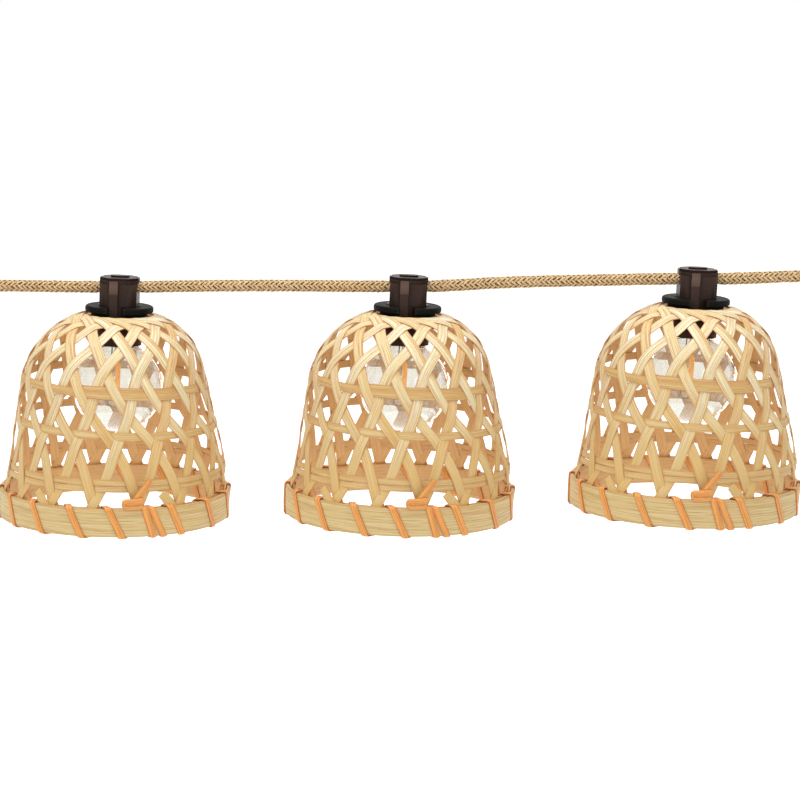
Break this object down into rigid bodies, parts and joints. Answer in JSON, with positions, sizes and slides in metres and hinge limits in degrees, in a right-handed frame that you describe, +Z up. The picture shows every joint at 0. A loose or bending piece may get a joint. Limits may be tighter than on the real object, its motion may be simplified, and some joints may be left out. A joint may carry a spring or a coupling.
{
  "type": "bamboo lantern string light",
  "caption": "Outdoor string light: woven bamboo bell shades with clear globe bulbs, hung from screw sockets on a jute covered cord with a coupling at each end.",
  "frame": {"origin": "centre of the left hanging eye's bore", "axes": "+X along the cord from the feed end to the outlet end, +Y away from the viewer along the eyes' bores, +Z up"},
  "size_m": [0.4662, 0.1058, 0.1267],
  "materials": {
    "socket_plastic": "moulded, dark brown, faintly glossy on the clip arm",
    "collar_plastic": "moulded black, satin",
    "brass_sheet": "stamped, bright",
    "bamboo_strip": "split bamboo, straight fine grain, slightly glossy skin side",
    "bamboo_hoop": "split bamboo, warmer and darker than the strips",
    "bamboo_rim": "wide split bamboo band with fine lengthwise grain",
    "rattan_lashing": "dyed rattan peel, orange, glossy",
    "seal_rubber": "soft black rubber",
    "clear_glass": "clear blown glass",
    "cap_metal": "nickel plated, rolled thread",
    "stem_glass": "clear pressed glass",
    "filament_coating": "yellow-orange phosphor coating",
    "jute": "braided jute yarn, fuzzy",
    "lead_insulation": "dark brown extruded insulation",
    "fitting_rubber": "moulded dark rubber, matt",
    "nut_plastic": "moulded, ribbed grip"
  },
  "bodies": {
    "cord": {"rope_cover": "jute", "twin_lead": "lead_insulation", "feed_body": "fitting_rubber", "feed_pins": "brass_sheet", "outlet_body": "fitting_rubber", "outlet_contacts": "brass_sheet"},
    "lantern_1": {"socket_cap_1": "socket_plastic", "socket_body_1": "socket_plastic", "screw_shell_1": "brass_sheet", "centre_contact_1": "brass_sheet", "shade_collar_1": "collar_plastic", "shade_nut_1": "collar_plastic", "strips_left_1": "bamboo_strip", "strips_right_1": "bamboo_strip", "hoops_1": "bamboo_hoop", "rim_outer_1": "bamboo_rim", "rim_inner_1": "bamboo_rim", "rim_lashing_1": "rattan_lashing"},
    "seal_1": {"bulb_seal_1": "seal_rubber"},
    "bulb_1": {"bulb_glass_1": "clear_glass", "bulb_cap_1": "cap_metal", "bulb_stem_1": "stem_glass", "led_filament_1": "filament_coating"},
    "lantern_2": {"socket_cap_2": "socket_plastic", "socket_body_2": "socket_plastic", "screw_shell_2": "brass_sheet", "centre_contact_2": "brass_sheet", "shade_collar_2": "collar_plastic", "shade_nut_2": "collar_plastic", "strips_left_2": "bamboo_strip", "strips_right_2": "bamboo_strip", "hoops_2": "bamboo_hoop", "rim_outer_2": "bamboo_rim", "rim_inner_2": "bamboo_rim", "rim_lashing_2": "rattan_lashing"},
    "seal_2": {"bulb_seal_2": "seal_rubber"},
    "bulb_2": {"bulb_glass_2": "clear_glass", "bulb_cap_2": "cap_metal", "bulb_stem_2": "stem_glass", "led_filament_2": "filament_coating"},
    "lantern_3": {"socket_cap_3": "socket_plastic", "socket_body_3": "socket_plastic", "screw_shell_3": "brass_sheet", "centre_contact_3": "brass_sheet", "shade_collar_3": "collar_plastic", "shade_nut_3": "collar_plastic", "strips_left_3": "bamboo_strip", "strips_right_3": "bamboo_strip", "hoops_3": "bamboo_hoop", "rim_outer_3": "bamboo_rim", "rim_inner_3": "bamboo_rim", "rim_lashing_3": "rattan_lashing"},
    "seal_3": {"bulb_seal_3": "seal_rubber"},
    "bulb_3": {"bulb_glass_3": "clear_glass", "bulb_cap_3": "cap_metal", "bulb_stem_3": "stem_glass", "led_filament_3": "filament_coating"},
    "feed_nut": {"feed_nut": "nut_plastic"},
    "outlet_cap": {"outlet_cap": "nut_plastic"}
  },
  "joints": [
    {"name": "swing_1", "type": "hinge", "parent": "cord", "child": "lantern_1", "pos_m": [0.077, 0, -0.012], "axis": [1, 0, 0], "range_deg": [-60, 60]},
    {"name": "bulb_drop_1", "type": "slide", "parent": "lantern_1", "child": "seal_1", "axis": [-0.0436, 0, -0.999], "range_m": [0, 0.0127]},
    {"name": "bulb_turn_1", "type": "hinge", "parent": "seal_1", "child": "bulb_1", "pos_m": [0.07595, 0, -0.03598], "axis": [-0.0436, 0, -0.999], "range_deg": [0, 1800]},
    {"name": "swing_2", "type": "hinge", "parent": "cord", "child": "lantern_2", "pos_m": [0.205, 0, -0.0118], "axis": [1, 0, 0], "range_deg": [-60, 60]},
    {"name": "bulb_drop_2", "type": "slide", "parent": "lantern_2", "child": "seal_2", "axis": [-0.0436, 0, -0.999], "range_m": [0, 0.0127]},
    {"name": "bulb_turn_2", "type": "hinge", "parent": "seal_2", "child": "bulb_2", "pos_m": [0.20395, 0, -0.03578], "axis": [-0.0436, 0, -0.999], "range_deg": [0, 1800]},
    {"name": "swing_3", "type": "hinge", "parent": "cord", "child": "lantern_3", "pos_m": [0.333, 0, -0.0084], "axis": [1, 0, 0], "range_deg": [-60, 60]},
    {"name": "bulb_drop_3", "type": "slide", "parent": "lantern_3", "child": "seal_3", "axis": [-0.0436, 0, -0.999], "range_m": [0, 0.0127]},
    {"name": "bulb_turn_3", "type": "hinge", "parent": "seal_3", "child": "bulb_3", "pos_m": [0.33195, 0, -0.03238], "axis": [-0.0436, 0, -0.999], "range_deg": [0, 1800]},
    {"name": "feed_nut_turn", "type": "hinge", "parent": "cord", "child": "feed_nut", "pos_m": [-0.024, 0, -0.0114], "axis": [1, 0, 0], "continuous": true},
    {"name": "outlet_cap_pull", "type": "slide", "parent": "cord", "child": "outlet_cap", "axis": [1, 0, 0], "range_m": [0, 0.014]}
  ],
  "couplings": [
    {"joint": "bulb_drop_1", "follows": "bulb_turn_1", "m_per_rad": 0.000404},
    {"joint": "bulb_drop_2", "follows": "bulb_turn_2", "m_per_rad": 0.000404},
    {"joint": "bulb_drop_3", "follows": "bulb_turn_3", "m_per_rad": 0.000404}
  ]
}
